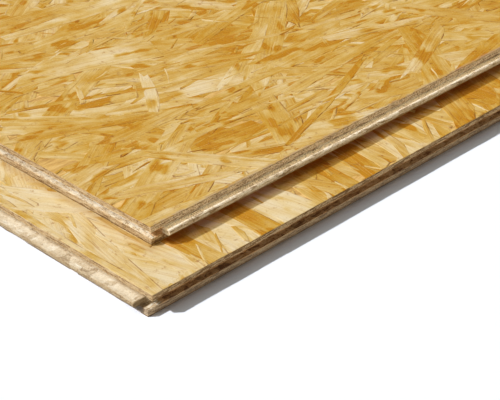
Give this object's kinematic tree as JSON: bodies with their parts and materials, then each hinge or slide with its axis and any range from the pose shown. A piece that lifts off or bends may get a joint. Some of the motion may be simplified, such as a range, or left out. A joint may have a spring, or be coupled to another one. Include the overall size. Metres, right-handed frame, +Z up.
{
  "type": "stack of osb panels",
  "caption": "Stack of tongue-and-groove OSB floor panels lying flat, the upper one drawn back so that its milled edges and those of the lower one show at one corner.",
  "frame": {"origin": "on the floor, under the middle of the stack", "axes": "+Z up, +Y along the panels, +X across them, so that the open corner where both panels' edges show is at +X -Y"},
  "size_m": [0.727, 2.5696, 0.036],
  "materials": {
    "osb": "lightly sanded pressed strands, semi-matt"
  },
  "bodies": {
    "root": {"lower_panel": "osb", "upper_panel": "osb"}
  },
  "joints": []
}
